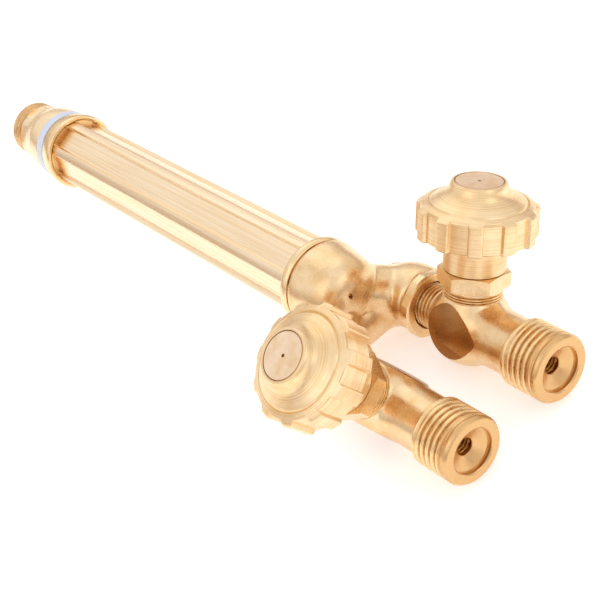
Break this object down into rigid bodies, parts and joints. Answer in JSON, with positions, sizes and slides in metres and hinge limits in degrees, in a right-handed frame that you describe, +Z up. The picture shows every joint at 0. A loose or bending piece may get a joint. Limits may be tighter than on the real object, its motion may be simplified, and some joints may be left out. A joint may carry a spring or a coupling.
{
  "type": "glass lampwork hand torch",
  "caption": "Brass hand torch for lampwork: fluted handle with threaded tip head, forged Y-body, and an oxygen and a fuel needle valve with ridged knobs and hose threads.",
  "frame": {"origin": "under the middle of the torch, level with the lowest points of the two valve hubs", "axes": "barrel along X with the tip end at -X and the hose inlets at +X; +Z up, the knobs lean outwards from it; oxygen side +Y, fuel side -Y"},
  "size_m": [0.188, 0.0696, 0.039],
  "materials": {
    "polished_brass": "turned and polished",
    "forged_brass": "satin, as forged and tumbled",
    "drawn_brass": "drawn, dull",
    "label_paper": "matt printed paper, print left out",
    "ptfe": "matt white",
    "steel": "bright"
  },
  "bodies": {
    "torch_body": {"front_head": "polished_brass", "label_band": "label_paper", "front_collar": "polished_brass", "handle_barrel": "polished_brass", "rear_ring": "polished_brass", "oxygen_tube": "drawn_brass", "fuel_tube": "drawn_brass", "y_body": "forged_brass", "oxygen_lock_nut": "polished_brass", "oxygen_valve_body": "forged_brass", "oxygen_bonnet": "polished_brass", "oxygen_bonnet_washer": "polished_brass", "oxygen_packing_ring": "ptfe", "oxygen_packing_washer": "drawn_brass", "fuel_lock_nut": "polished_brass", "fuel_valve_body": "forged_brass", "fuel_bonnet": "polished_brass", "fuel_bonnet_washer": "polished_brass", "fuel_packing_ring": "ptfe", "fuel_packing_washer": "drawn_brass"},
    "oxygen_seat": {"oxygen_seat_ball": "steel"},
    "oxygen_handwheel": {"oxygen_stem": "polished_brass", "oxygen_knob": "polished_brass", "oxygen_knob_screw": "steel", "oxygen_knob_plug": "polished_brass"},
    "fuel_seat": {"fuel_seat_ball": "steel"},
    "fuel_handwheel": {"fuel_stem": "polished_brass", "fuel_knob": "polished_brass", "fuel_knob_screw": "steel", "fuel_knob_plug": "polished_brass"}
  },
  "joints": [
    {"name": "oxygen_lift", "type": "slide", "parent": "torch_body", "child": "oxygen_seat", "axis": [0, 0.4179, 0.9085], "range_m": [0, 0.00159]},
    {"name": "oxygen_knob_turn", "type": "hinge", "parent": "oxygen_seat", "child": "oxygen_handwheel", "pos_m": [0.06895, 0.01296, 0.0086], "axis": [0, 0.4179, 0.9085], "range_deg": [0, 540]},
    {"name": "fuel_lift", "type": "slide", "parent": "torch_body", "child": "fuel_seat", "axis": [0, -0.509, 0.8607], "range_m": [0, 0.00159]},
    {"name": "fuel_knob_turn", "type": "hinge", "parent": "fuel_seat", "child": "fuel_handwheel", "pos_m": [0.06895, -0.01124, 0.0086], "axis": [0, -0.509, 0.8607], "range_deg": [0, 540]}
  ],
  "couplings": [
    {"joint": "oxygen_knob_turn", "follows": "oxygen_lift", "rad_per_m": 5937},
    {"joint": "fuel_knob_turn", "follows": "fuel_lift", "rad_per_m": 5937}
  ]
}
